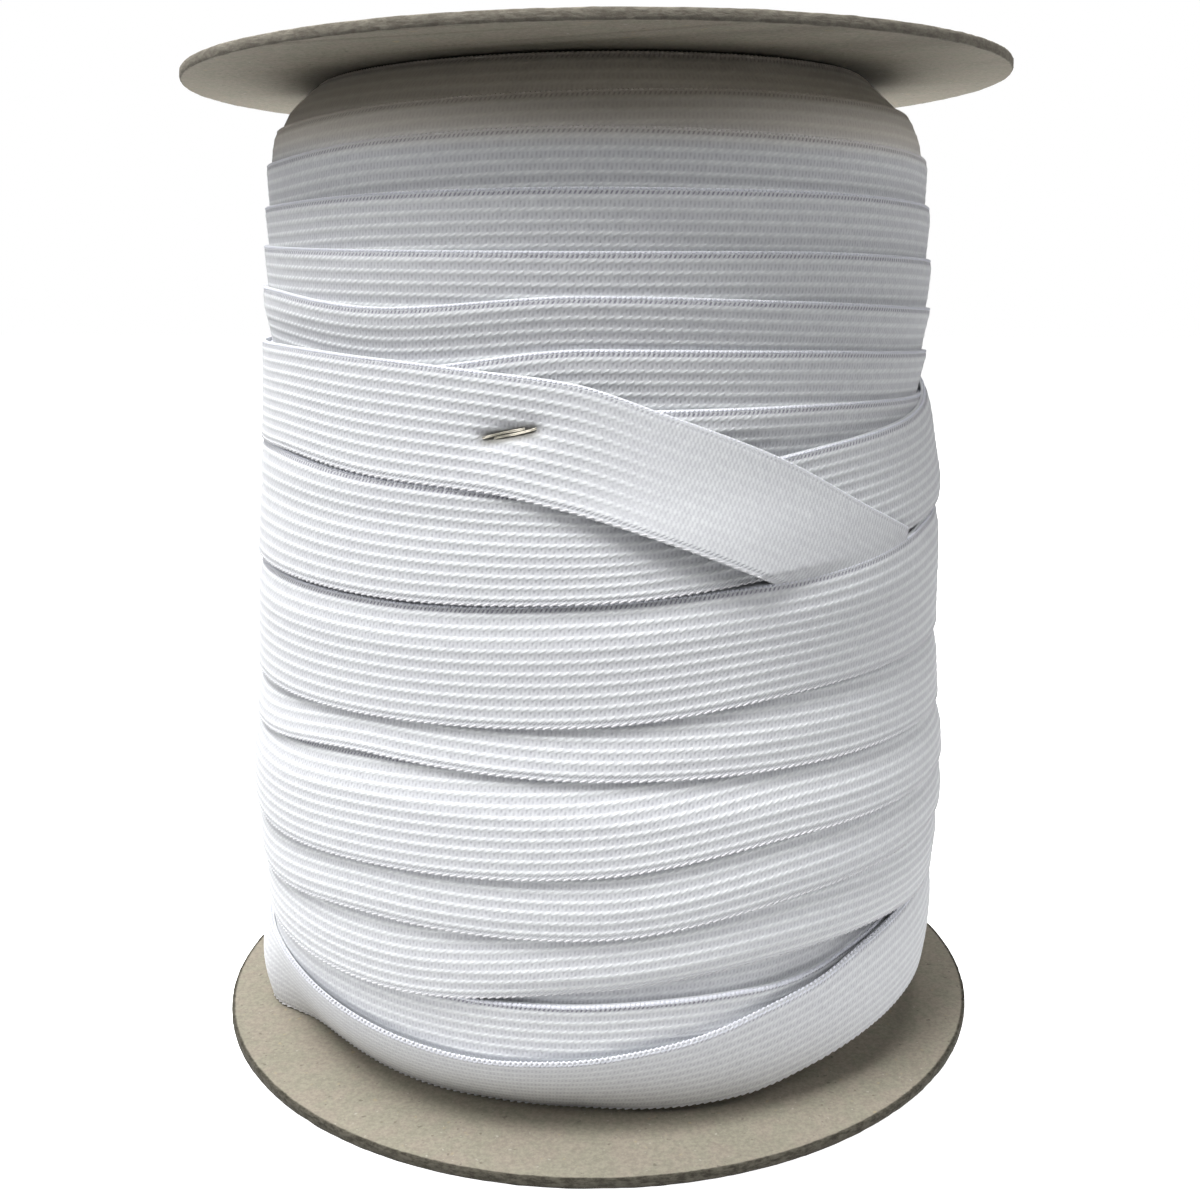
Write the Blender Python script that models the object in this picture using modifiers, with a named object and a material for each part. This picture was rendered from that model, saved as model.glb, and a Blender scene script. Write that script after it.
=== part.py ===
# A reel of white ribbed elastic: two chipboard flanges, the wound elastic between them,
# its loose end laid slantwise across the last turns, and the staple that holds it.
#
# The reel stands on its lower flange with its axis along +Z and its front towards -Y.
# Azimuths are in degrees from the front, rising towards +X, and tables are in millimetres.

import math
from collections import namedtuple

import bmesh
import bpy
from mathutils import Vector

MM = 0.001
GAP = 0.3                    # clearance between pieces that touch

FLANGE_RADIUS = 101.6
FLANGE_THICKNESS = 2.4
FLANGE_SIDES = 96
FLANGE_WEAR = 0.4            # width of the worn corner at a flange's rim
REEL_HEIGHT = 243.0          # to the middle of the upper flange's top face
UPPER_TILT = math.radians(0.98)   # the upper flange rises towards +X

BAND_THICKNESS = 1.2
STEP = 1.1                   # how far a turn's free edge stands proud of its neighbour
LIP = 0.4                    # height taken by that step
TUCK = 0.9                   # an edge nearer than this to the next one is hidden under it

SEAM = -265.0                # the azimuth, behind the right side, where the columns meet
SEAM_END = 95.0              # the same place, one circle on
STEP_DEGREES = 5.0
COLUMNS = 72

# The wound elastic's outline, to the free edges of its turns.
Outline = namedtuple("Outline", "height radius")
OUTLINE = (
    Outline(0.0, 88.6), Outline(25.0, 89.8), Outline(34.0, 90.4), Outline(42.0, 91.0),
    Outline(54.0, 92.0), Outline(66.0, 92.6), Outline(78.0, 92.0), Outline(89.0, 90.7),
    Outline(100.0, 90.0), Outline(112.0, 89.4), Outline(126.0, 88.9), Outline(134.0, 88.3),
    Outline(140.0, 87.7), Outline(150.0, 86.0), Outline(155.0, 85.4), Outline(166.0, 84.6),
    Outline(178.0, 84.2), Outline(189.0, 84.8), Outline(200.0, 84.2), Outline(212.0, 83.4),
    Outline(221.0, 82.4), Outline(226.0, 81.3), Outline(231.5, 79.3), Outline(236.0, 77.4),
    Outline(244.0, 76.0),
)

# Heights of each turn's edge where the eye can follow it across the front.
Turn = namedtuple("Turn", "name left mid_left centre mid_right right")
STATIONS = (-65.0, -32.0, 0.0, 32.0, 66.0)

# Wound downwards from the upper flange: top edges, each lapped over the turn above.
FALLING_TURNS = (
    Turn("turn 1", 228.2, 230.0, 231.5, 232.5, 232.4),
    Turn("turn 2", 220.2, 222.7, 224.1, 223.5, 222.4),
    Turn("turn 3", 210.3, 211.4, 212.0, 212.0, 211.2),
    Turn("turn 4", 200.9, 199.7, 199.3, 199.5, 198.6),
    Turn("turn 5", 191.2, 187.8, 190.4, 189.2, 187.2),
    Turn("turn 6", 177.0, 175.0, 179.6, 178.8, 176.9),
    Turn("turn 7", 166.0, 165.6, 167.0, 167.2, 166.2),
    Turn("turn 8", 155.6, 153.0, 154.0, 154.0, 154.0),
)
FALLING_START = 239.0        # height of turn 1's top edge where it comes out at the seam
CROWN_MERGE = 15.0           # degrees from the seam over which it is still hidden,
CROWN_EASE = 40.0            # and over which it comes down to its own height

# Wound upwards from the lower flange: bottom edges, each lapped over the turn below.
RISING_TURNS = (
    Turn("slack turn", 2.7, 2.7, 2.7, 11.4, 18.4),
    Turn("lower turn 4", 32.6, 34.3, 40.7, 45.4, 43.3),
    Turn("lower turn 3", 47.3, 52.4, 53.1, 58.5, 60.0),
    Turn("lower turn 2", 61.5, 65.0, 67.7, 72.8, 72.7),
    Turn("lower turn 1", 84.9, 90.1, 88.8, 88.3, 88.0),
    Turn("full turn", 97.0, 98.8, 100.6, 105.0, 106.8),
    Turn("middle turn", 125.9, 125.2, 126.2, 130.6, 138.8),
)
FULL = 5                     # places of the full and middle turns in that winding
MIDDLE = 6
# Top edges of the two turns that show both their edges.
UPPER_EDGES = (
    Turn("full turn", 124.0, 124.4, 126.4, 129.9, 136.6),
    Turn("middle turn", 154.0, 149.9, 151.5, 157.2, 166.0),
)
FULL_TOP_START = 112.0       # the full turn's top edge at the seam
MIDDLE_TOP_EXIT = 172.0      # the middle turn's edges where it becomes the loose end
MIDDLE_FOOT_EXIT = 146.2

# The bulge of the full turn over the loose end tucked under it, and the middle turn's rise.
Bulge = namedtuple("Bulge", "azimuth full_turn middle_turn middle_foot")
BULGES = (
    Bulge(-265.0, 0.0, 0.0, 0.0), Bulge(20.0, 0.0, 0.0, 0.0), Bulge(32.0, 1.4, 0.2, 0.2),
    Bulge(45.0, 1.9, 0.5, 0.3), Bulge(60.0, 1.3, 1.6, 0.3), Bulge(66.0, 0.8, 2.2, 0.3),
    Bulge(80.0, 0.0, 2.2, 0.3), Bulge(95.0, 0.0, 2.2, 0.3),
)

# The slack turn leans out at the front, and lifts off the flange on the right.
Slack = namedtuple("Slack", "azimuth top_height top_radius foot_radius recess")
SLACK_TURN = (
    Slack(-265.0, 17.0, 79.0, 75.5, 75.5), Slack(-200.0, 21.0, 84.0, 80.5, 80.5),
    Slack(-140.0, 25.2, 89.0, 88.0, 88.0), Slack(-77.0, 28.2, 91.2, 91.0, 91.0),
    Slack(-66.0, 27.4, 90.4, 84.6, 84.6), Slack(-47.0, 25.2, 89.8, 76.8, 76.8),
    Slack(-34.0, 23.4, 90.0, 74.8, 74.8), Slack(-18.0, 22.2, 90.2, 73.2, 73.2),
    Slack(-3.0, 23.6, 90.2, 73.8, 73.8), Slack(14.0, 30.0, 89.6, 80.0, 74.5),
    Slack(30.0, 35.8, 90.0, 87.2, 75.0), Slack(50.0, 41.4, 90.3, 89.4, 75.2),
    Slack(72.0, 43.0, 90.4, 90.0, 75.4), Slack(95.0, 46.0, 90.4, 89.8, 75.5),
)
SLACK_BELLY = 1.0            # how far the leaning turn bows out between its edges
POCKET_WIDTH = 3.4           # the gap behind its top edge, which opens from the seam
POCKET_DEPTH = 5.0
POCKET_EASE = 60.0           # over this many degrees
RECESS_LEAN = 3.5            # how far the space under the lifted edge narrows upwards,
RECESS_ROOF = 3.0            # and its height where the edge starts to lift
RECESS_RISE = 17.3           # and what it gains by the seam
UNDER_TURN_TOP = 38.0        # top edge of the turn that shows under lower turn 4
UNDER_TURN_RADIUS = 89.4     # that turn's radius at its top edge
UNDER_TURN_BACK = 87.2       # and behind the slack turn

# The loose end, from where it leaves the middle turn to its cut corner, nearly a turn on.
EndBand = namedtuple("EndBand", "azimuth top bottom lift")
END_BAND = (
    EndBand(95.0, 172.0, 146.2, 0.65), EndBand(150.0, 175.5, 150.0, 0.1),
    EndBand(220.0, 178.0, 153.0, 0.0), EndBand(300.0, 178.6, 154.9, 0.0),
    EndBand(328.0, 177.0, 151.6, 0.0), EndBand(345.0, 175.0, 150.0, 0.0),
    EndBand(357.0, 172.9, 146.5, 0.0), EndBand(370.0, 166.7, 140.2, 0.15),
    EndBand(388.0, 156.4, 128.4, 0.35), EndBand(404.0, 144.2, 117.0, 0.35),
    EndBand(414.3, 137.4, 110.0, 0.35),
)
END_BAND_CLEARANCE = 0.35    # between the loose end and the turns that it lies on
END_BAND_START = 95.2        # a hair past the middle turn's cut edge
END_BAND_ROWS = 7

# The staple: its crown under the loose end, its legs clinched over it side by side.
STAPLE_AZIMUTH = -11.4
STAPLE_HEIGHT = 162.3
STAPLE_CROWN = 12.4
STAPLE_WIRE = 0.8            # diameter
STAPLE_LEG = 8.2             # length of each clinched leg
STAPLE_SPREAD = 0.5          # from the staple's middle line to each leg's
STAPLE_BEND = 0.6            # size of the wire's corners
STAPLE_SLOPE = math.radians(11.0)
STAPLE_HOLE_DEPTH = 8.0      # of the cuts that make room for its legs,
STAPLE_POCKET_DEPTH = 5.0    # and for its crown


# ---------------------------------------------------------------- curves

def smooth_curve(keys):
    """A curve through (position, value) keys that never overshoots them."""
    xs = [key[0] for key in keys]
    ys = [key[1] for key in keys]
    rises = [(ys[i + 1] - ys[i]) / (xs[i + 1] - xs[i]) for i in range(len(xs) - 1)]
    slopes = [rises[0]]
    for before, after in zip(rises, rises[1:]):
        if before * after <= 0.0:
            slopes.append(0.0)
        else:
            slopes.append(2.0 * before * after / (before + after))
    slopes.append(rises[-1])

    def value(x):
        if x <= xs[0]:
            return ys[0]
        if x >= xs[-1]:
            return ys[-1]
        i = max(k for k in range(len(xs) - 1) if xs[k] <= x)
        span = xs[i + 1] - xs[i]
        t = (x - xs[i]) / span
        ends = ys[i] * (1 + 2 * t) * (1 - t) ** 2 + ys[i + 1] * t * t * (3 - 2 * t)
        leans = slopes[i] * t * (1 - t) ** 2 - slopes[i + 1] * t * t * (1 - t)
        return ends + span * leans

    return value


def column_curve(rows, field):
    """The curve of one named column of a table against its first column."""
    return smooth_curve([(row[0], getattr(row, field)) for row in rows])


def helix_keys(turns, first_index=0):
    """Keys of one continuous edge: turn after turn, each a full circle on."""
    keys = []
    for index, turn in enumerate(turns, first_index):
        keys += [(360.0 * index + azimuth, height) for azimuth, height in zip(STATIONS, turn[1:])]
    return keys


outline = column_curve(OUTLINE, "radius")
full_bulge = column_curve(BULGES, "full_turn")
middle_bulge = column_curve(BULGES, "middle_turn")
middle_foot_bulge = column_curve(BULGES, "middle_foot")
slack_top = column_curve(SLACK_TURN, "top_height")
slack_top_radius = column_curve(SLACK_TURN, "top_radius")
slack_foot_radius = column_curve(SLACK_TURN, "foot_radius")
slack_recess = column_curve(SLACK_TURN, "recess")
end_top = column_curve(END_BAND, "top")
end_bottom = column_curve(END_BAND, "bottom")
end_lift = column_curve(END_BAND, "lift")

falling = smooth_curve([(SEAM, FALLING_START)] + helix_keys(FALLING_TURNS))
rising = smooth_curve([(SEAM, RISING_TURNS[0].left)] + helix_keys(RISING_TURNS)
                      + [(360.0 * MIDDLE + SEAM_END, MIDDLE_FOOT_EXIT)])
upper_edge = smooth_curve([(360.0 * FULL + SEAM, FULL_TOP_START)]
                          + helix_keys(UPPER_EDGES, FULL)
                          + [(360.0 * MIDDLE + SEAM_END, MIDDLE_TOP_EXIT)])


def ease(x, start, end):
    """0 before start, 1 after end, smooth between."""
    t = min(1.0, max(0.0, (x - start) / (end - start)))
    return t * t * (3 - 2 * t)


def place(azimuth, point):
    """A (radius, height) point at an azimuth as a place in space, in metres."""
    turn = math.radians(azimuth)
    radius, height = point
    return Vector((radius * math.sin(turn), -radius * math.cos(turn), height)) * MM


# ---------------------------------------------------------------- the wound elastic

def crown_point(azimuth):
    """Where the winding meets the tilted upper flange."""
    radius = outline(REEL_HEIGHT)
    middle = REEL_HEIGHT - FLANGE_THICKNESS / 2
    across = radius * math.sin(math.radians(azimuth))
    underside = middle + across * math.tan(UPPER_TILT) - FLANGE_THICKNESS / 2
    return radius, underside - GAP


def free_edge(height, lift=0.0, side=1):
    """The two points of a step: the hidden inner one, then the proud outer one.

    side is 1 for a turn's top edge and -1 for its bottom edge.
    """
    outer = outline(height) + lift
    inner = outline(height) - STEP
    return (inner, height + side * LIP), (outer, height)


def between(upper, lower, height):
    """The point at a height on the straight line between two points."""
    if upper == lower:
        return upper
    t = min(1.0, max(0.0, (upper[1] - height) / (upper[1] - lower[1])))
    return upper[0] + (lower[0] - upper[0]) * t, upper[1] + (lower[1] - upper[1]) * t


def falling_rows(azimuth, lowest):
    """The crown and the falling turns' steps, down to the point where the middle turn hides them.

    Each of the last two plain strips has a point more, which meets the middle turn's cut
    edge at the seam.
    """
    crown = crown_point(azimuth)
    steps = []
    for index in range(len(FALLING_TURNS)):
        height = falling(360.0 * index + azimuth)
        if index == 0:
            height = crown[1] + (height - crown[1]) * ease(azimuth, SEAM, SEAM + CROWN_EASE)
        step = free_edge(height)
        if index == 0 and azimuth < SEAM + CROWN_MERGE:
            step = (crown, crown)
        if height < lowest[1] + TUCK:
            step = (lowest, lowest)
        steps.append(step)

    high = free_edge(MIDDLE_TOP_EXIT)[0]
    low = free_edge(MIDDLE_FOOT_EXIT, side=-1)[0]
    if azimuth > SEAM:
        high = between(steps[-2][1], steps[-1][0], high[1])
        low = between(steps[-1][1], lowest, low[1])
    rows = [crown]
    for step in steps[:-1]:
        rows += step
    return rows + [high, *steps[-1], low]


def foot_rows(azimuth, ceiling, foot_height):
    """The turn under lower turn 4, the pocket, the slack turn and the recess below it."""
    starts = azimuth <= SEAM
    ends = azimuth >= SEAM_END
    top = slack_top(azimuth)
    shows = top < ceiling[1] - TUCK

    under_edge = [ceiling, ceiling]
    if shows and top < UNDER_TURN_TOP - TUCK < ceiling[1] - 2 * TUCK:
        under_edge = [(UNDER_TURN_RADIUS - STEP, UNDER_TURN_TOP + LIP),
                      (UNDER_TURN_RADIUS, UNDER_TURN_TOP)]

    pocket = [ceiling] * 4
    if shows:
        opened = ease(azimuth, SEAM, SEAM + POCKET_EASE)
        rim = (slack_top_radius(azimuth), top)
        inner_rim = (rim[0] - BAND_THICKNESS, top - LIP / 2)
        back = (min(UNDER_TURN_BACK, rim[0] - POCKET_WIDTH * opened), top + 2 * LIP)
        bottom = ((back[0] + inner_rim[0]) / 2, top - POCKET_DEPTH * opened)
        pocket = [back, bottom, inner_rim, rim]
    if starts:
        pocket = [ceiling, ceiling, rim, rim]

    foot = (slack_foot_radius(azimuth), foot_height)
    if ends:
        foot = (outline(foot_height), foot_height)
    belly = foot
    if shows and not starts:
        belly = ((rim[0] + foot[0]) / 2 + SLACK_BELLY, (rim[1] + foot[1]) / 2)

    floor = FLANGE_THICKNESS + GAP
    ring = (slack_recess(azimuth), floor)
    under = [foot, foot, ring]
    if foot_height > floor + TUCK:
        lifted = ease(azimuth, 0.0, SEAM_END)
        roof = min(foot_height - 1.0, floor + RECESS_ROOF + RECESS_RISE * lifted)
        recess_top = (ring[0] + RECESS_LEAN * lifted, roof)
        if ends:
            recess_top = (slack_top_radius(SEAM), slack_top(SEAM))
        under = [(foot[0] - STEP, foot_height - LIP), recess_top, ring]
    return under_edge + pocket + [belly, foot] + under


def column(azimuth):
    """The winding's outline at an azimuth, from the upper flange down to the lower one."""
    bottoms = [rising(360.0 * index + azimuth) for index in range(len(RISING_TURNS))]
    middle_top = free_edge(upper_edge(360.0 * MIDDLE + azimuth), middle_bulge(azimuth))
    rows = falling_rows(azimuth, middle_top[0])
    rows += middle_top

    under_middle, middle_foot = free_edge(bottoms[MIDDLE], middle_foot_bulge(azimuth), -1)
    full_top = free_edge(upper_edge(360.0 * FULL + azimuth), full_bulge(azimuth))
    if full_top[1][1] > under_middle[1] - TUCK:
        full_top = (under_middle, under_middle)
    rows += [middle_foot, under_middle, *full_top]
    for index in range(FULL, 0, -1):
        inner, outer = free_edge(bottoms[index], side=-1)
        rows += [outer, inner]
    return rows + foot_rows(azimuth, rows[-1], bottoms[0])


def wound_elastic(material):
    """The winding: a loft between columns, joined one turn on where the helix comes round."""
    mesh = bmesh.new()
    azimuths = [SEAM + STEP_DEGREES * index for index in range(COLUMNS + 1)]
    grid = []
    for azimuth in azimuths:
        grid.append([mesh.verts.new(place(azimuth, point)) for point in column(azimuth)])
    for left, right in zip(grid, grid[1:]):
        for row in range(len(left) - 1):
            mesh.faces.new((left[row], left[row + 1], right[row + 1], right[row]))

    # The middle turn's cut edge at the seam, which faces the start of the loose end.
    middle_row = len(falling_rows(SEAM, crown_point(SEAM)))
    proud = grid[-1][middle_row:middle_row + 4]
    plain = grid[0][middle_row - 4:middle_row]
    mesh.faces.new(proud + plain[::-1])

    # The hidden ends: flat under the upper flange and on the lower one.
    mesh.faces.new([points[0] for points in reversed(grid[:-1])])
    mesh.faces.new([points[-1] for points in grid[:-1]])
    bmesh.ops.remove_doubles(mesh, verts=mesh.verts, dist=0.02 * MM)
    bmesh.ops.dissolve_degenerate(mesh, dist=0.01 * MM, edges=mesh.edges)
    bmesh.ops.recalc_face_normals(mesh, faces=mesh.faces)
    return add_object("roll", mesh, material)


# ---------------------------------------------------------------- the loose end

def end_band_reach(azimuth, height):
    """Radius of the loose end's inner face."""
    return outline(height) + END_BAND_CLEARANCE + end_lift(azimuth)


def end_band(material):
    """The loose end: an open sheet on the turns, thickened outwards.

    Its lower edge stops at the full turn's top edge where it goes under that turn.
    """
    tip = END_BAND[-1].azimuth
    azimuths = [END_BAND_START]
    while azimuths[-1] < tip - STEP_DEGREES:
        azimuths.append(SEAM_END + STEP_DEGREES * len(azimuths))
    azimuths.append(tip)
    mesh = bmesh.new()
    grid = []
    for azimuth in azimuths:
        top = end_top(azimuth)
        bottom = end_bottom(azimuth)
        if azimuth > 360.0:
            bottom = max(bottom, upper_edge(360.0 * (FULL - 1) + azimuth) + LIP + 2 * GAP)
        rows = []
        for row in range(END_BAND_ROWS):
            height = top + (bottom - top) * row / (END_BAND_ROWS - 1)
            rows.append(mesh.verts.new(place(azimuth, (end_band_reach(azimuth, height), height))))
        grid.append(rows)
    for left, right in zip(grid, grid[1:]):
        for row in range(END_BAND_ROWS - 1):
            mesh.faces.new((left[row], left[row + 1], right[row + 1], right[row]))
    band = add_object("end_band", mesh, material)
    wall = band.modifiers.new("thickness", "SOLIDIFY")
    wall.thickness = BAND_THICKNESS * MM
    wall.offset = 1.0
    wall.use_even_offset = True
    return band


# ---------------------------------------------------------------- the staple

def staple_place(along, across, out):
    """A point beside the staple's middle, bent round the winding, in metres."""
    sideways = along * math.cos(STAPLE_SLOPE) - across * math.sin(STAPLE_SLOPE)
    upwards = along * math.sin(STAPLE_SLOPE) + across * math.cos(STAPLE_SLOPE)
    height = STAPLE_HEIGHT + upwards
    radius = end_band_reach(360.0 + STAPLE_AZIMUTH, height) + BAND_THICKNESS + out
    azimuth = STAPLE_AZIMUTH + math.degrees(sideways / radius)
    return place(azimuth, (radius, height))


def staple_route():
    """The wire's middle line: one leg's tip, the crown underneath, the other leg's tip."""
    half = STAPLE_CROWN / 2
    over = GAP + STAPLE_WIRE / 2
    under = -BAND_THICKNESS - over
    leg = [(STAPLE_LEG - half, STAPLE_SPREAD, over),
           (-half / 2, STAPLE_SPREAD, over),
           (STAPLE_BEND - half, STAPLE_SPREAD / 2, over),
           (-half, 0.0, over - STAPLE_BEND),
           (-half, 0.0, under + STAPLE_BEND),
           (STAPLE_BEND - half, 0.0, under)]
    other_leg = [(-along, -across, out) for along, across, out in reversed(leg)]
    return leg + other_leg


def staple(material):
    """Round wire along the route, made a mesh so that its caps are welded."""
    curve = bpy.data.curves.new("staple wire", "CURVE")
    curve.dimensions = "3D"
    curve.bevel_depth = STAPLE_WIRE / 2 * MM
    curve.bevel_resolution = 2
    curve.use_fill_caps = True
    route = staple_route()
    line = curve.splines.new("POLY")
    line.points.add(len(route) - 1)
    for point, step in zip(line.points, route):
        point.co = (*staple_place(*step), 1.0)
    wire = bpy.data.objects.new("staple wire", curve)
    bpy.context.scene.collection.objects.link(wire)
    depsgraph = bpy.context.evaluated_depsgraph_get()
    mesh = bmesh.new()
    mesh.from_mesh(bpy.data.meshes.new_from_object(wire.evaluated_get(depsgraph)))
    bpy.data.objects.remove(wire)
    bmesh.ops.remove_doubles(mesh, verts=mesh.verts, dist=0.001 * MM)
    bmesh.ops.recalc_face_normals(mesh, faces=mesh.faces)
    return add_object("staple", mesh, material)


def punch(target, name, places, size):
    """Cuts a box out of the target at each place along the staple."""
    mesh = bmesh.new()
    for along in places:
        corners = bmesh.ops.create_cube(mesh, size=1.0)["verts"]
        outwards = (staple_place(along, 0, 1) - staple_place(along, 0, 0)).normalized()
        lengthways = staple_place(along + 1, 0, 0) - staple_place(along - 1, 0, 0)
        lengthways.normalize()
        upwards = outwards.cross(lengthways)
        middle = staple_place(along, 0.0, -BAND_THICKNESS / 2)
        for corner in corners:
            offset = Vector(corner.co) * MM
            corner.co = (middle + lengthways * offset.x * size[0]
                         + upwards * offset.y * size[1] + outwards * offset.z * size[2])
    bmesh.ops.recalc_face_normals(mesh, faces=mesh.faces)
    data = bpy.data.meshes.new(name)
    mesh.to_mesh(data)
    mesh.free()
    cutter = bpy.data.objects.new(name, data)
    cutter.hide_render = True
    cutter.display_type = "WIRE"
    bpy.data.collections["Cutters"].objects.link(cutter)
    cut = target.modifiers.new(name, "BOOLEAN")
    cut.operation = "DIFFERENCE"
    cut.solver = "EXACT"
    cut.object = cutter


def make_room_for_staple(roll, band):
    """Holes through the loose end for the two legs, and a pocket in the winding."""
    half = STAPLE_CROWN / 2
    room = STAPLE_WIRE + 2 * GAP
    punch(band, "staple holes", (-half, half), (room, room, STAPLE_HOLE_DEPTH))
    punch(roll, "staple pocket", (0.0,), (STAPLE_CROWN + room, room, STAPLE_POCKET_DEPTH))


# ---------------------------------------------------------------- flanges, materials, scene

def flange(name, centre_height, tilt, material):
    """A chipboard disc with a slightly worn rim."""
    mesh = bmesh.new()
    bmesh.ops.create_cone(mesh, cap_ends=True, segments=FLANGE_SIDES,
                          radius1=FLANGE_RADIUS * MM, radius2=FLANGE_RADIUS * MM,
                          depth=FLANGE_THICKNESS * MM)
    disc = add_object(name, mesh, material)
    disc.location = (0.0, 0.0, centre_height * MM)
    disc.rotation_euler = (0.0, -tilt, 0.0)
    wear = disc.modifiers.new("worn rim", "BEVEL")
    wear.width = FLANGE_WEAR * MM
    wear.segments = 1
    wear.limit_method = "ANGLE"
    wear.angle_limit = math.radians(40.0)
    return disc


def plain_material(name, colour, roughness, metallic=0.0):
    """A Principled material."""
    material = bpy.data.materials.new(name)
    material.use_nodes = True
    shader = material.node_tree.nodes["Principled BSDF"]
    shader.inputs["Base Color"].default_value = (*colour, 1.0)
    shader.inputs["Roughness"].default_value = roughness
    shader.inputs["Metallic"].default_value = metallic
    return material


def add_object(name, mesh, material):
    """Turns a bmesh into a named object of the reel."""
    data = bpy.data.meshes.new(name)
    mesh.to_mesh(data)
    mesh.free()
    data.materials.append(material)
    data.shade_smooth()
    data.set_sharp_from_angle(angle=math.radians(35.0))
    thing = bpy.data.objects.new(name, data)
    bpy.data.collections["Elastic reel"].objects.link(thing)
    return thing


def main():
    for thing in list(bpy.data.objects):
        bpy.data.objects.remove(thing)
    for name in ("Elastic reel", "Cutters"):
        collection = bpy.data.collections.new(name)
        bpy.context.scene.collection.children.link(collection)

    chipboard = plain_material("chipboard", (0.42, 0.36, 0.28), 0.9)
    elastic = plain_material("white elastic", (0.82, 0.83, 0.85), 0.8)
    loose_elastic = plain_material("white elastic, loose end", (0.84, 0.85, 0.86), 0.8)
    steel = plain_material("steel wire", (0.55, 0.53, 0.44), 0.35, 1.0)

    flange("flange_lower", FLANGE_THICKNESS / 2, 0.0, chipboard)
    flange("flange_upper", REEL_HEIGHT - FLANGE_THICKNESS / 2, UPPER_TILT, chipboard.copy())
    roll = wound_elastic(elastic)
    band = end_band(loose_elastic)
    staple(steel)
    make_room_for_staple(roll, band)


main()
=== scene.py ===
import bisect
import math
import random

import bmesh
import bpy
from mathutils import Matrix, Vector


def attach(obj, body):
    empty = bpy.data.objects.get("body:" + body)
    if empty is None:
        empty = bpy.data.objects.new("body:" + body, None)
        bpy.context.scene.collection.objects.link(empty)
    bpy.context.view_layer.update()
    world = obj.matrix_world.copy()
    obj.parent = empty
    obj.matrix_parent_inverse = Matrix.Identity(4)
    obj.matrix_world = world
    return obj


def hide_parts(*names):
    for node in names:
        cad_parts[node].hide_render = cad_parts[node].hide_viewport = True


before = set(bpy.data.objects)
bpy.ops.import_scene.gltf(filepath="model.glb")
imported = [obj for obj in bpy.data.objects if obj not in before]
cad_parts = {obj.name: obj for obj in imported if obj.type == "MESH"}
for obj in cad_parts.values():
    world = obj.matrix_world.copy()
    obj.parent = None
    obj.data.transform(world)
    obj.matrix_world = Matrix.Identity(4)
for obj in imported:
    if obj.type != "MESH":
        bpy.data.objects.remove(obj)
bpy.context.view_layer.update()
mm = 0.001
print("frame loaded:", sorted(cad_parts))


# small helpers, used by several pieces

def smoothCurve(keys):
    # through every key, level at the turning points, never past a key's own value
    xs = [key[0] for key in keys]
    ys = [key[1] for key in keys]
    rises = [(ys[i + 1] - ys[i]) / (xs[i + 1] - xs[i]) for i in range(len(xs) - 1)]
    slopes = [rises[0]]
    for before, after in zip(rises, rises[1:]):
        level = before * after <= 0.0
        slopes.append(0.0 if level else 2.0 * before * after / (before + after))
    slopes.append(rises[-1])

    def value(x):
        if x <= xs[0]:
            return ys[0]
        if x >= xs[-1]:
            return ys[-1]
        i = bisect.bisect_right(xs, x) - 1
        span = xs[i + 1] - xs[i]
        t = (x - xs[i]) / span
        ends = ys[i] * (1 + 2 * t) * (1 - t) ** 2 + ys[i + 1] * t * t * (3 - 2 * t)
        leans = slopes[i] * t * (1 - t) ** 2 - slopes[i + 1] * t * t * (1 - t)
        return ends + span * leans

    return value


def curveOf(keys, column, start=0.0):
    # one column of a table against its first, counted on from start
    return smoothCurve([(start + key[0], key[column]) for key in keys])


def clamp(x, low=0.0, high=1.0):
    return max(low, min(high, x))


def ease(x, start, end):
    t = clamp((x - start) / (end - start))
    return t * t * (3 - 2 * t)


def mix(a, b, t):
    return a + (b - a) * t


def place(azimuth, radius, height):
    # azimuth in degrees from the front, rising towards +X; radius and height in mm
    turn = math.radians(azimuth)
    return (radius * math.sin(turn) * mm, -radius * math.cos(turn) * mm, height * mm)


def deselectAll():
    if bpy.context.object and bpy.context.object.mode != "OBJECT":
        bpy.ops.object.mode_set(mode="OBJECT")
    bpy.ops.object.select_all(action="DESELECT")


def addRing(sides, radius, height=0.0):
    # a filled circle about the reel's axis, in mm, and all of it selected to be drawn up
    deselectAll()
    bpy.ops.mesh.primitive_circle_add(vertices=sides, radius=radius * mm, fill_type="NGON",
                                      location=(0, 0, height * mm))
    bpy.ops.object.transform_apply()
    bpy.ops.object.mode_set(mode="EDIT")
    bpy.ops.mesh.select_all(action="SELECT")
    return bpy.context.object


def drawUp(rise, grow=1.0):
    # what is selected, extruded upwards in mm and then widened
    bpy.ops.mesh.extrude_region_move(TRANSFORM_OT_translate={"value": (0, 0, rise * mm)})
    if grow != 1.0:
        bpy.ops.transform.resize(value=(grow, grow, 1.0), center_override=(0, 0, 0))


def turnOutward():
    bpy.ops.mesh.select_all(action="SELECT")
    bpy.ops.mesh.normals_make_consistent(inside=False)


def addPiece(name, points, faces, coordinates, material, marks=None):
    # a closed mesh in place, with its own lengthways and crossways coordinates in metres
    data = bpy.data.meshes.new(name)
    data.from_pydata(points, [], faces)
    layer = data.uv_layers.new(name="along and across")
    corners = [0] * len(data.loops)
    data.loops.foreach_get("vertex_index", corners)
    flat = []
    for corner in corners:
        flat += coordinates[corner]
    layer.data.foreach_set("uv", flat)
    for mark, values in (marks or {}).items():
        data.attributes.new(mark, "FLOAT", "POINT").data.foreach_set("value", values)
    data.materials.append(material)
    data.shade_smooth()
    mesh = bmesh.new()
    mesh.from_mesh(data)
    bmesh.ops.recalc_face_normals(mesh, faces=mesh.faces)
    mesh.to_mesh(data)
    mesh.free()
    data.update()
    piece = bpy.data.objects.new(name, data)
    bpy.context.scene.collection.objects.link(piece)
    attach(piece, "root")
    return piece


# shader maths

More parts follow.
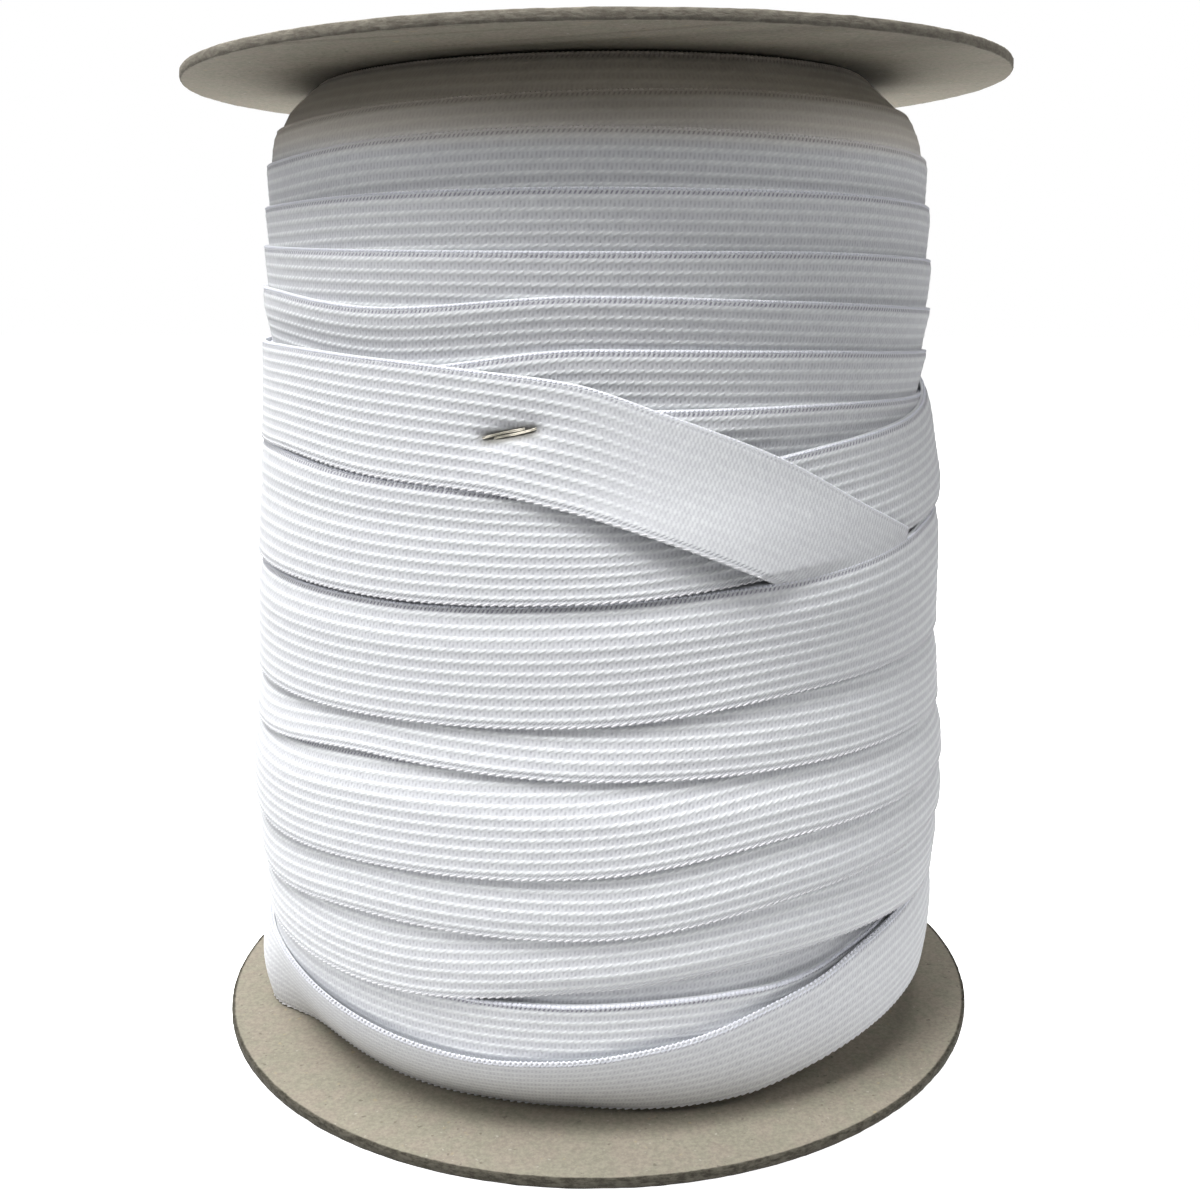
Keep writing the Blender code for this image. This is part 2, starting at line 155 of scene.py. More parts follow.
class Value:
    # wraps one output socket, or holds a plain number, so that sums read as sums

    def __init__(self, painter, socket):
        self.painter = painter
        self.socket = socket

    def math(self, operation, *others):
        node = self.painter.add("ShaderNodeMath", {"operation": operation},
                                {i: x for i, x in enumerate((self, *others))})
        return Value(self.painter, node.outputs[0])

    def __add__(self, other):
        return self.math("ADD", other)

    def __sub__(self, other):
        return self.math("SUBTRACT", other)

    def __mul__(self, other):
        return self.math("MULTIPLY", other)

    def __truediv__(self, other):
        return self.math("DIVIDE", other)

    def __rsub__(self, other):
        return Value(self.painter, other).math("SUBTRACT", self)

    def __rtruediv__(self, other):
        return Value(self.painter, other).math("DIVIDE", self)

    __radd__ = __add__
    __rmul__ = __mul__

    def fract(self):
        return self.math("FRACT")

    def absolute(self):
        return self.math("ABSOLUTE")

    def over(self, other):
        return self.math("MAXIMUM", other)

    def under(self, other):
        return self.math("MINIMUM", other)

    def between(self, start, end, low=0.0, high=1.0):
        # a smooth step from low to high
        node = self.painter.add(
            "ShaderNodeMapRange", {"interpolation_type": "SMOOTHSTEP"},
            {"Value": self, "From Min": start, "From Max": end, "To Min": low, "To Max": high})
        return Value(self.painter, node.outputs[0])

    def fading(self, start, end):
        return self.between(start, end, 1.0, 0.0)


class Painter:
    # one material's nodes

    def __init__(self, name):
        self.material = bpy.data.materials.new(name)
        self.material.use_nodes = True
        self.tree = self.material.node_tree
        self.shader = self.tree.nodes["Principled BSDF"]

    def add(self, kind, settings=None, inputs=None):
        node = self.tree.nodes.new(kind)
        for key, value in (settings or {}).items():
            setattr(node, key, value)
        for key, value in (inputs or {}).items():
            self.feed(node.inputs[key], value)
        return node

    def feed(self, socket, value):
        if isinstance(value, Value):
            value = value.socket
        if isinstance(value, bpy.types.NodeSocket):
            self.tree.links.new(value, socket)
        else:
            socket.default_value = value

    def value(self, kind, output=0, settings=None, inputs=None):
        return Value(self, self.add(kind, settings, inputs).outputs[output])

    def noise(self, vector, scale, detail=2.0, roughness=0.5):
        return self.value("ShaderNodeTexNoise", "Fac", None,
                          {"Vector": vector, "Scale": scale, "Detail": detail,
                           "Roughness": roughness})

    def blend(self, factor, first, second):
        # two colours, or two links to colours
        node = self.add("ShaderNodeMix", {"data_type": "RGBA"}, {0: factor})
        for key, colour in ((6, first), (7, second)):
            if isinstance(colour, tuple):
                colour = (*colour, 1.0)
            self.feed(node.inputs[key], colour)
        return node.outputs[2]

    def finish(self, **sockets):
        for key, value in sockets.items():
            self.feed(self.shader.inputs[key.replace("_", " ")], value)
        return self.material

    def bump(self, height, distance, strength=1.0):
        node = self.add("ShaderNodeBump", None,
                        {"Height": height, "Distance": distance, "Strength": strength})
        return node.outputs[0]


# camera: the photograph's place, tilt and slight offset from the middle

camera = {
    "place": (0.00829, -0.37974, 0.19530),
    "pitch": 0.1968,       # radians below level
    "roll": 0.0024,
    "lens": 43.036,
    "shift": (-0.02517, -0.03558),
}


def addCamera():
    data = bpy.data.cameras.new("camera")
    data.lens = camera["lens"]
    data.sensor_width = 36.0
    data.shift_x, data.shift_y = camera["shift"]
    data.clip_start = 0.01
    data.clip_end = 20.0
    eye = bpy.data.objects.new("camera", data)
    bpy.context.scene.collection.objects.link(eye)
    forward = Vector((0.0, math.cos(camera["pitch"]), -math.sin(camera["pitch"])))
    level = Vector((1.0, 0.0, 0.0))
    upright = level.cross(forward)
    side = math.cos(camera["roll"]) * level + math.sin(camera["roll"]) * upright
    up = -math.sin(camera["roll"]) * level + math.cos(camera["roll"]) * upright
    turned = Matrix((side, up, -forward)).transposed().to_4x4()
    turned.translation = camera["place"]
    eye.matrix_world = turned
    bpy.context.scene.camera = eye


addCamera()
print("camera placed")


# the elastic's own make

elastic = {
    "width": 25.4,
    "thickness": 1.05,
    "lap": 1.2,             # from one layer to the next
    "settle": 9.0,          # how far a turn eases down before the next one's edge
    "ribs": 10,
    "firstRib": 2.15,       # from the top edge to the first rib's crest
    "ribPitch": 2.39,
    "ribDepth": 0.08,
    "ribHalf": (0.56, 0.3), # from a rib's crest to its foot and to its shoulder
    "topRound": ((0.0, 1.0), (0.12, 0.68), (0.35, 0.38), (0.7, 0.18), (1.05, 0.12), (1.3, 0.12)),
    "footRound": ((24.42, 0.12), (24.65, 0.1), (24.92, 0.1), (25.2, 0.15), (25.34, 0.3),
                  (25.4, 0.5)),
    "pressed": 0.6,         # how much of that rounding goes where the ribs are pressed flat
    "backRows": (3, 24),    # of mesh behind a turn, and behind the dented loose end
    "stitch": 1.82,         # from one stitch to the next, lengthways
    "columns": 144,         # of mesh in a turn
    "seam": -265.0,         # where one turn is counted on to the next
}

# the roll's radius by height
outline = smoothCurve((
    (0, 88.6), (25, 89.8), (34, 90.4), (42, 91.0), (54, 92.0), (66, 92.6), (78, 92.0),
    (89, 90.7), (100, 90.0), (112, 89.4), (126, 88.9), (134, 88.3), (140, 87.7),
    (150, 86.0), (155, 85.4), (166, 84.6), (178, 84.2), (189, 84.8), (200, 84.2),
    (212, 83.4), (221, 82.4), (226, 81.0), (229, 79.4), (231.6, 77.8), (233.6, 75.9),
    (235.5, 73.6), (237.8, 70.8), (239.5, 68.6), (244, 66.0)))

# edge heights at five azimuths across the front, a row for each turn
stations = (-65, -32, 0, 32, 66)
fallingTops = (
    (228.2, 230.0, 231.5, 232.5, 232.4), (220.2, 222.7, 224.1, 223.5, 222.4),
    (210.3, 211.4, 212.0, 212.0, 211.2), (200.9, 199.7, 199.3, 199.5, 198.6),
    (191.2, 187.8, 190.4, 189.2, 187.2), (177.0, 175.0, 179.6, 178.8, 176.9),
    (166.0, 165.6, 167.0, 167.2, 166.2), (155.6, 153.0, 154.0, 154.0, 154.0))
risingFootHeights = (
    (2.7, 2.7, 2.7, 11.4, 18.4), (32.6, 34.3, 40.0, 43.6, 41.8),
    (47.3, 52.4, 53.1, 58.5, 60.0), (61.5, 65.0, 67.7, 72.8, 72.7),
    (84.9, 90.1, 88.8, 88.3, 88.0), (97.0, 98.8, 100.6, 105.0, 106.8),
    (126.0, 125.6, 127.1, 132.0, 138.2))
risingTops = ((125.2, 125.1, 127.2, 130.6, 136.6), (154.9, 151.6, 149.8, 157.2, 163.2))

fallingTail = [(2900.0, 144.0), (3200.0, 134.0)]    # two more tops, under the rising turns

seam = elastic["seam"]
hiddenTop = 239.0           # of the turns that the uppermost one covers
turnCount = {"falling": 10, "rising": 7}
firstOver = 3               # the first rising turn that lies on the falling ones
fullTurn = 5                # the rising turn that shows whole, under the loose end's
looseAzimuth = 95.0         # where the turn over it becomes the loose end
looseCount = 2160.0         # six turns, which the loose end's azimuths are counted on from
looseStart = looseCount + looseAzimuth
middleStart = looseStart - 360.0    # of the turn that ends where the loose end starts
fullStart = looseStart - 720.0
fullEase = 105.0            # from its start to where its top edge is known


def helixKeys(rows, first=0):
    return [(360.0 * index + azimuth, height)
            for index, row in enumerate(rows, first)
            for azimuth, height in zip(stations, row)]


loose = {                   # the loose end: azimuth, top, bottom, lift off the winding
    "keys": (
        (95.0, 170.6, 145.4, 0.1), (150.0, 175.2, 149.8, 0.1), (220.0, 178.0, 153.0, 0.0),
        (300.0, 178.6, 154.9, 0.0), (328.0, 177.0, 151.6, 0.0), (345.0, 175.0, 150.0, 0.0),
        (357.0, 172.9, 146.5, 0.0), (370.0, 166.7, 140.2, 0.15), (388.0, 156.4, 128.4, 0.35),
        (404.0, 144.2, 117.0, 0.35), (414.3, 137.4, 110.0, 0.35)),
    "clear": 1.5,           # its face above the winding's,
    "cleared": 150,         # from this azimuth on
    "lean": (0.75, 1.1),    # the level it leans out about, and how far
    "tucked": 370.0,        # from here on its foot goes in under the full turn,
    "tuckEdge": (-0.4, 2.6),    # at these heights from that turn's top edge
    "tip": 414.3,
}

crown = {                   # the upper flange, as the uppermost turn meets it
    "height": 241.8,        # of its middle
    "tilt": math.radians(0.98),
    "half": 1.2,            # of the board's thickness
    "gap": 0.5,
    "radius": 68.0,         # of the turn there
}

staple = {
    "azimuth": -11.4, "height": 162.3,
    "slope": math.radians(11.0),
    "crown": 12.2,
    "wire": (0.60, 0.52),       # across and thick
    "sides": 10,
    "spread": 0.37,             # from its middle line to each leg's
    "parting": (0.2, 3.0),      # where a leg starts to part from that line, and over what length
    "leg": (                    # from its tip: distance from the corner, out of the face, thickness
        (9.6, 0.165, 0.25), (8.7, 0.30, 1.0), (4.8, 0.30, 1.0), (1.3, 0.34, 1.0),
        (0.55, 0.22, 1.0), (0.12, -0.20, 1.0), (0.0, -0.90, 1.0), (0.0, -1.90, 1.0)),
    "steel": ((0.15, 0.142, 0.118), (0.42, 0.395, 0.335)),
    "dent": (0.75, 8.5, 4.2),   # how deep it draws the elastic in, and over what length and width
    "beneath": 1.6,             # how much more it does so to the turns beneath
    "slot": (1.15, 6.6, 1.35),  # the narrow fold it lies in: depth, half length, width
    "stapleShade": (6.6, 1.4, -0.4), # painted shade in the slot and under the wires: half length, width, middle
}


def stapleSpot(azimuth, height):
    # mm along the staple and across it
    sideways = math.radians(azimuth - staple["azimuth"]) * outline(height)
    upwards = height - staple["height"]
    lean = staple["slope"]
    return (sideways * math.cos(lean) + upwards * math.sin(lean),
            upwards * math.cos(lean) - sideways * math.sin(lean))


def dent(azimuth, height):
    # mm that the staple draws the elastic in
    deep, length, width = staple["dent"]
    along, across = stapleSpot(azimuth, height)
    if abs(along) > 3 * length or abs(across) > 3 * width:
        return 0.0
    wide = deep * math.exp(-(along / length) ** 2 - (across / width) ** 2)
    deep, length, width = staple["slot"]
    return wide + deep * math.exp(-(along / length) ** 6 - (across / width) ** 2)


def slotShadeAt(azimuth, height):
    # 1 where shade is painted, in the slot and close around it
    length, width, middle = staple["stapleShade"]
    along, across = stapleSpot(azimuth, height)
    across -= middle
    if abs(along) > 2 * length or abs(across) > 3 * width:
        return 0.0
    return math.exp(-(along / length) ** 8 - (across / width) ** 4)


def underUpperFlange(azimuth):
    rise = crown["radius"] * math.sin(math.radians(azimuth)) * math.tan(crown["tilt"])
    return crown["height"] + rise - crown["half"] - crown["gap"]


fallingTop = smoothCurve([(seam, hiddenTop)] + helixKeys(fallingTops)
                         + fallingTail)
risingFoot = smoothCurve([(seam, 2.7)] + helixKeys(risingFootHeights) + [(looseStart, 145.4)])
fullTop = smoothCurve([(fullStart, 112.0)] + helixKeys(risingTops, fullTurn)
                      + [(looseStart, 170.6)])
looseTop = curveOf(loose["keys"], 1, looseCount)
looseFoot = curveOf(loose["keys"], 2, looseCount)
looseLift = curveOf(loose["keys"], 3)
looseLean = smoothCurve(((340, 0.0), (358, 0.9), (370, 1.7), (380, 1.6), (390, 0.8), (400, 0.0)))

# how far the full turn and the one over it stand off, by azimuth
bulgeRise = (100, 28)       # the height where the full turn's starts, and over how much it grows
fullBulge = smoothCurve(((-265, 0), (18, 0), (30, 2.1), (44, 2.9), (56, 2.1), (66, 1.0), (80, 0.7),
                         (95, 0.5)))
middleBulge = smoothCurve(((-265, 0), (20, 0), (45, 0.4), (57, 0.5), (66, 0.1), (78, -0.4)))
middleFootBulge = smoothCurve(((-265, 0), (20, 0), (32, 0.2), (60, 0.6), (78, 1.3), (95, 1.3)))
middleBelly = smoothCurve(((-265, 0), (35, 0), (50, 0.6), (66, 1.1), (80, 1.4), (95, 1.4)))


def middleSwell(azimuth, up):
    # up is 0 at the turn's bottom edge and 1 at its top one
    edgewise = mix(middleFootBulge(azimuth), middleBulge(azimuth), up)
    return edgewise + middleBelly(azimuth) * (1 - (2 * up - 1) ** 4)


slack = {                   # azimuth, top height and radius, foot height and radius
    "keys": (
        (-320, 27.0, 75.0, 2.7, 74.2), (-265, 27.5, 79.0, 2.7, 75.5), (-200, 28.0, 84.0, 2.7, 80.5),
        (-140, 28.0, 88.2, 2.7, 87.4), (-77, 28.0, 90.5, 2.7, 90.6), (-73, 27.6, 90.5, 2.7, 88.8),
        (-69, 27.2, 90.4, 2.7, 84.6), (-65, 26.8, 90.2, 2.7, 81.2), (-60, 26.4, 90.1, 2.7, 79.2),
        (-50, 25.0, 90.0, 2.7, 77.4), (-38, 23.2, 90.0, 2.7, 76.5), (-28, 22.1, 90.1, 2.7, 75.7),
        (-18, 21.6, 90.2, 2.7, 74.6), (-4, 22.9, 90.2, 2.7, 74.2), (8, 25.3, 90.0, 3.4, 77.0),
        (16, 27.4, 90.0, 4.3, 79.4), (26, 31.3, 90.0, 5.6, 81.8), (36, 34.5, 90.0, 9.0, 84.6),
        (46, 38.8, 90.0, 13.4, 88.2), (57, 41.2, 90.0, 15.5, 89.4), (66, 42.6, 90.0, 17.6, 90.2),
        (78, 44.2, 90.2, 19.4, 90.0), (95, 46.0, 89.9, 20.6, 89.6)),
    "belly": ((-120, 0.0), (-80, 2.2), (-66, 1.6), (-40, 1.3), (60, 1.3)),
    "topJoins": (60, 95), "footJoins": (78, 95),    # azimuths where it becomes the next turn
    "faceJoins": (60.0, 110.0),
}
slackTop = curveOf(slack["keys"], 1)
slackTopRadius = curveOf(slack["keys"], 2)
slackFoot = curveOf(slack["keys"], 3)
slackFootRadius = curveOf(slack["keys"], 4)
slackBelly = smoothCurve(slack["belly"])

gap = {                     # over the slack turn: the turn that shows in it, and the strip behind
    "top": ((-140, 46), (-100, 41), (-60, 36.5), (-20, 36.2), (-4, 36.4), (11, 37.0), (21, 36.9),
            (30, 36.2), (45, 38.2), (57, 41.4), (66, 43.8), (78, 46.2), (95, 47.6)),
    "radius": (87.8, 89.6),     # low and high
    "rise": (24, 14),           # the height where it starts to widen, and over how much
    "apart": (2.6, 0.3, 6),     # from the slack turn: below its edge, above it, over what height
    "left": (-40, -66),         # azimuths where it draws near the slack turn
    "leftRadius": 89.9, "leftApart": 1.2,
    "strip": (11.0, 10.0),      # above and below the turn's top edge
    "stripRadius": (88.0, 86.2), "stripSteps": (20, 34),
}
underTop = smoothCurve(gap["top"])

tuck = {                    # of the second turn's foot, behind the slack turn's edge
    "depth": 1.4, "over": 6,
    "starts": (-25, 0), "ends": (45, 66),
}
leftSwell = {               # of the turn over the full one, at the left
    "depth": 1.0, "heights": (141, 150), "ends": (-12, 20),
}


def cover(height, low, high):
    # 1 under a turn that spans low to high, easing off before its edges
    reach = elastic["settle"]
    return clamp(1 + (height - low) / reach) * clamp(1 + (high - height) / reach)


def edges(winding, turned):
    # a turn's top and bottom edge; turned is the azimuth counted on from turn to turn
    width = elastic["width"]
    if winding == "falling":
        if turned < seam:
            top = mix(underUpperFlange(turned), hiddenTop, ease(turned, seam - 40, seam))
        else:
            top = fallingTop(turned)
        return top, top - width
    if winding == "under":
        return underTop(turned), underTop(turned) - width
    if winding == "behind":
        above, below = gap["strip"]
        return underTop(turned) + above, underTop(turned) - below
    if turned >= looseStart:
        return looseTop(turned), looseFoot(turned)
    foot = risingFoot(turned)
    if turned < looseAzimuth:
        foot = mix(slackFoot(turned), foot, ease(turned, *slack["footJoins"]))
        return mix(slackTop(turned), foot + width, ease(turned, *slack["topJoins"])), foot
    if turned >= fullStart:
        known = ease(turned, fullStart, fullStart + fullEase)
        return mix(foot + width, fullTop(turned), known), foot
    return foot + width, foot


class Column:
    # the winding's layers at one place along a ribbon

    def __init__(self, winding, turned):
        self.winding = winding
        self.turned = turned
        self.loose = winding == "rising" and turned >= looseStart
        self.top, self.foot = edges(winding, turned)
        index = math.floor((turned - seam) / 360.0)
        self.azimuth = turned - 360.0 * index
        layers = []
        if winding == "falling":
            layers += [("falling", later) for later in range(index + 1, turnCount["falling"])]
        first = {"falling": firstOver, "rising": index + 1}.get(winding, 1)
        layers += [("rising", later) for later in range(first, turnCount["rising"])]
        self.outside = [edges(kind, 360.0 * later + self.azimuth)[::-1] for kind, later in layers]

    def radius(self, height):
        # of the ribbon's outer face; up is 0 at its bottom edge and 1 at its top one
        base = outline(height)
        up = clamp((height - self.foot) / (self.top - self.foot))
        if self.loose:
            return self.looseRadius(base, height, up)
        radius = self.stacked(base, height)
        if self.winding == "under":
            return min(radius, self.underRadius(height))
        if self.winding == "behind":
            return min(radius, mix(*gap["stripRadius"], ease(self.azimuth, *gap["stripSteps"])))
        if self.winding == "rising":
            if self.turned < slack["faceJoins"][1]:
                return mix(self.slackRadius(up), radius, ease(self.turned, *slack["faceJoins"]))
            if self.turned >= middleStart:
                radius += middleSwell(self.azimuth, up)
                out = leftSwell["depth"] * ease(height, *leftSwell["heights"])
                radius += out * (1 - ease(self.azimuth, *leftSwell["ends"]))
            elif self.turned >= fullStart:
                radius += fullBulge(self.azimuth) * up
            elif self.turned < 360.0 + looseAzimuth:
                nearFoot = tuck["depth"] * clamp(1 - (height - self.foot) / tuck["over"]) ** 2
                nearFoot *= ease(self.azimuth, *tuck["starts"])
                radius -= nearFoot * (1 - ease(self.azimuth, *tuck["ends"]))
        return radius

    def looseRadius(self, base, height, up):
        # over the winding, until its foot goes in under the full turn's top edge
        azimuth = self.turned - looseCount
        level, reach = loose["lean"]
        clear = mix(middleSwell(looseAzimuth, up), loose["clear"] + looseLift(azimuth),
                    ease(azimuth, looseAzimuth, loose["cleared"]))
        over = base + clear - dent(self.azimuth, height)
        over += looseLean(azimuth) * (level - up) * reach
        if azimuth < loose["tucked"]:
            return over
        edge = fullTop(looseCount - 360.0 + self.azimuth)
        low, reach = bulgeRise
        fullFace = base + fullBulge(self.azimuth) * clamp((height - low) / reach)
        start, end = loose["tuckEdge"]
        return mix(fullFace - elastic["lap"], over, ease(height, edge + start, edge + end))

    def slackRadius(self, up):
        lean = mix(slackFootRadius(self.turned), slackTopRadius(self.turned), up)
        return lean + slackBelly(self.turned) * 4 * up * (1 - up)

    def underRadius(self, height):
        # its own face, or the slack turn's back where that is nearer
        azimuth = self.azimuth
        slackBack, slackEdge = slackFoot(azimuth), slackTop(azimuth)
        start, reach = gap["rise"]
        near, far, overHeight = gap["apart"]
        left = ease(azimuth, *gap["left"])
        own = mix(mix(*gap["radius"], clamp((height - start) / reach)), gap["leftRadius"], left)
        up = clamp((height - slackBack) / (slackEdge - slackBack))
        lean = mix(slackFootRadius(azimuth), slackTopRadius(azimuth), up)
        apart = mix(near, far, clamp((height - slackEdge) / overHeight))
        return min(own, lean - mix(apart, gap["leftApart"], left))

    def stacked(self, base, height):
        # drawn in by the layers outside this one, and by the staple
        depth = 0.0
        reach = elastic["settle"]
        for low, high in self.outside:
            if low - reach < height < high + reach:
                depth += cover(height, low, high)
        return base - elastic["lap"] * depth - staple["beneath"] * dent(self.azimuth, height)


def ribRows():
    # from the top edge to the bottom one: distance across, and depth below the face
    deep = elastic["ribDepth"]
    wide, narrow = elastic["ribHalf"]
    rows = list(elastic["topRound"])
    for rib in range(elastic["ribs"]):
        crest = elastic["firstRib"] + rib * elastic["ribPitch"]
        rows += [(crest - wide, deep), (crest - narrow, deep * 0.3), (crest, 0.0),
                 (crest + narrow, deep * 0.3), (crest + wide, deep)]
        if rib < elastic["ribs"] - 1:
            rows.append((crest + elastic["ribPitch"] / 2, deep * 0.9))
    return rows + list(elastic["footRound"])


flatness = {                # how far the ribs are pressed flat, and the azimuths where that changes
    "loose": (350, 374),
    "slack": ((0.15, -60, -20), (0.45, 5, 80)),     # less by this much
    "under": (0.75, -55, -15),
    "behind": 0.95,
}


def plainAt(column):
    if column.loose:
        return ease(column.turned - looseCount, *flatness["loose"])
    if column.winding == "rising" and column.turned < looseAzimuth:
        plain = 1.0
        for share, start, end in flatness["slack"]:
            plain -= share * ease(column.turned, start, end)
        return plain
    if column.winding == "under":
        share, start, end = flatness["under"]
        return share * (1.0 - ease(column.azimuth, start, end))
    return flatness["behind"] if column.winding == "behind" else 0.0


def ribbon(name, winding, start, end, material, fineness=1, begin=0.0):
    # the elastic itself: ribbed outside, plain inside, closed all round; begin is where its
    # lengthways coordinate starts
    width = elastic["width"]
    topRound, footRound = elastic["topRound"][-1][0], elastic["footRound"][0][0]
    backRows = elastic["backRows"][fineness > 1]
    rows = [(across, depth, True) for across, depth in ribRows()]
    rows += [(width * (1 - row / backRows), elastic["thickness"], False)
             for row in range(backRows + 1)]
    size = len(rows)
    count = max(2, round((end - start) / 360.0 * elastic["columns"] * fineness))
    points, coordinates, faces, plainness, slotShadeMask = [], [], [], [], []
    along = begin
    for step in range(count + 1):
        turned = start + (end - start) * step / count
        column = Column(winding, turned)
        plain = plainAt(column)
        if step:
            along += math.radians((end - start) / count) * column.radius(column.top) * mm
        for across, depth, outside in rows:
            height = column.top + (column.foot - column.top) * across / width
            if outside:
                rounded = across <= topRound or across >= footRound
                depth *= 1 - plain * (elastic["pressed"] if rounded else 1)
            points.append(place(turned, column.radius(height) - depth, height))
            coordinates.append((along, across * mm))
            plainness.append(plain)
            # painted shade round the staple, on the loose end's face
            slotShadeMask.append(slotShadeAt(column.azimuth, height) if column.loose and outside else 0.0)
        if step:
            right = step * size
            left = right - size
            for row in range(size):
                after = (row + 1) % size
                faces.append((left + row, left + after, right + after, right + row))
    faces.append(tuple(reversed(range(size))))
    faces.append(tuple(range(count * size, (count + 1) * size)))
    piece = addPiece(name, points, faces, coordinates, material,
                     {"plainness": plainness, "slotShadeMask": slotShadeMask})
    for edge in piece.data.edges:       # crisp round the cut ends
        if {corner // size for corner in edge.vertices} in ({0}, {count}):
            edge.use_edge_sharp = True
    length = along - begin
    print(name, "length", round(length, 3), "m, faces", len(piece.data.polygons))
    return piece, length


def stitchShape(length, thick, slant, rings=4, sides=5):
    # one knitted loop as a slanted bead, blunt at its ends: points along, up and out, and faces
    points = [(-length / 2, -slant / 2, 0.0)]
    whole = math.hypot(length, slant)
    for ring in range(rings):
        t = (ring + 0.5) / rings
        wide = thick / 2 * math.sin(math.pi * (0.12 + 0.76 * t)) ** 0.6
        for side in range(sides):
            turn = 2 * math.pi * side / sides
            up = wide * math.cos(turn)
            points.append((length * (t - 0.5) - up * slant / whole,
                           slant * (t - 0.5) + up * length / whole, wide * math.sin(turn)))
    points.append((length / 2, slant / 2, 0.0))
    faces = []
    last = len(points) - 1
    for side in range(sides):
        after = (side + 1) % sides
        faces.append((0, 1 + after, 1 + side))
        faces.append((last, last - sides + side, last - sides + after))
        for ring in range(rings - 1):
            a = 1 + ring * sides
            b = a + sides
            faces.append((a + side, a + after, b + after, b + side))
    return points, faces


selvedge = {                # length, thickness, slant, place from the top edge, proud, pitch
    "top": (1.10, 0.74, 0.42, 0.44, -0.40, 1.05),
    "foot": (1.85, 0.52, 0.62, 25.12, -0.20, 1.82),
    "hem": (1.32, 0.78, 0.30, 0.70, -0.32, 1.22),
    "picot": (0.58, 0.60, 0.50, -0.40, -0.24, 1.22),
    "roll": (1.30, 1.00, 0.35, 0.35, -0.15, 1.10),
}


def stitches(name, runs, material):
    # the knitted loops along a ribbon's edges; a run is a winding, a start, an end and a kind
    width = elastic["width"]
    points, faces, coordinates = [], [], []
    random.seed(7)
    for winding, start, end, kind in runs:
        length, thick, slant, across, proud, pitch = selvedge[kind]
        shape, shapeFaces = stitchShape(length, thick, slant)
        turned = start
        while turned < end:
            column = Column(winding, turned)
            ahead = Column(winding, turned + 1.0)
            height = column.top + (column.foot - column.top) * across / width
            heightAhead = ahead.top + (ahead.foot - ahead.top) * across / width
            radius = column.radius(clamp(height, column.foot, column.top))
            radiusAhead = ahead.radius(clamp(heightAhead, ahead.foot, ahead.top))
            degree = math.radians(1.0) * radius
            climb = (heightAhead - height) / degree
            swell = (radiusAhead - radius) / degree
            wobble = 1.0 + random.uniform(-0.08, 0.08)
            base = len(points)
            for along, up, out in shape:
                points.append(place(turned + math.degrees(along / radius),
                                    radius + proud + out * wobble + swell * along,
                                    height + up * wobble + climb * along))
                coordinates.append((along / length + 0.5, up))
            for face in shapeFaces:
                faces.append(tuple(base + corner for corner in face))
            turned += math.degrees(pitch / radius)
    piece = addPiece(name, points, faces, coordinates, material)
    print(name, "faces", len(piece.data.polygons))
    return piece


# the elastic's finish

knit = {                    # lengths in mm, or in stitches along the elastic
    "lean": 0.15,           # of the stitches, from row to row
    "middle": ((0.75, 1.0), (24.2, 24.7)),      # where the face starts and ends, between its cords
    "climb": 0.78,          # how far a dash rises along its stitch
    "dash": (0.10, 0.42),   # half its thickness: full, faded
    "dashEnds": (0.26, 0.47), "dashSwell": (-0.45, 0.15, 0.50, 1.0),
    "ridge": (0.30, 0.75),
    "holes": ((0.30, 1.02), (-0.20, 1.50)),     # place along the stitch, place below a crest
    "holeLong": (0.0, 0.38), "holeWide": (0.10, 0.55),
    "line": (0.10, 0.40),   # the upright threads between ribs, two to a stitch
    "cord": 1.12,           # the row of holes under the top cord
    "eyelet": 1.05,         # from one of these holes to the next
    "eyeletWide": (0.16, 0.50), "eyeletLong": (0.08, 0.30),
    "foot": (23.95, 24.55), # the slanted strokes above the bottom cord
    "footLong": (0.08, 0.34), "footFade": 0.2,
    "steep": (0.08, 0.42), "steepLean": 0.27, "steepRow": 1.2, "steepShift": 0.37,
}
bright = {                  # how much each mark lightens or darkens the face: painted highlight on the crests and dashes, painted shade in the holes, lines, eyelets and slits
    "face": 0.66, "ridge": 0.09, "dash": 0.17, "hole": 0.12, "line": 0.11,
    "pressedDash": 0.14, "pressedHole": 0.14, "pressedLine": 0.09,
    "stroke": 0.24, "betweenStrokes": 0.10,     # the loose end's steep strokes
    "eyelet": 0.60, "foot": 0.22, "uneven": 0.30,
}
tint = {
    # hole: the darkest tone, painted shade in the knit's holes
    "hole": (0.275, 0.27, 0.325), "float": (0.85, 0.872, 0.88), "shadow": (0.62, 0.61, 0.67),
    "boardBounce": (0.80, 0.70, 0.55),                 # painted warm bounce light from the board, on the uppermost turns
    "stapleShade": (0.13, 0.12, 0.095),              # painted shade, in the staple's slot and under its wires
    "cord": ((0.69, 0.70, 0.78), (0.81, 0.825, 0.88)),
    "foot": ((0.64, 0.64, 0.67), (0.78, 0.78, 0.80)),
}
paintedBounceHeights = (0.2185, 0.2265)                  # in metres, from where it starts to full


# painted warm bounce light from the board's underside, laid on the uppermost turns by height
def paintedBoardBounce(paint, where, shade, amount):
    height = Value(paint, paint.add("ShaderNodeSeparateXYZ", None, {0: where}).outputs[2])
    return paint.blend((height.between(*paintedBounceHeights) * amount).socket, shade, tint["boardBounce"])


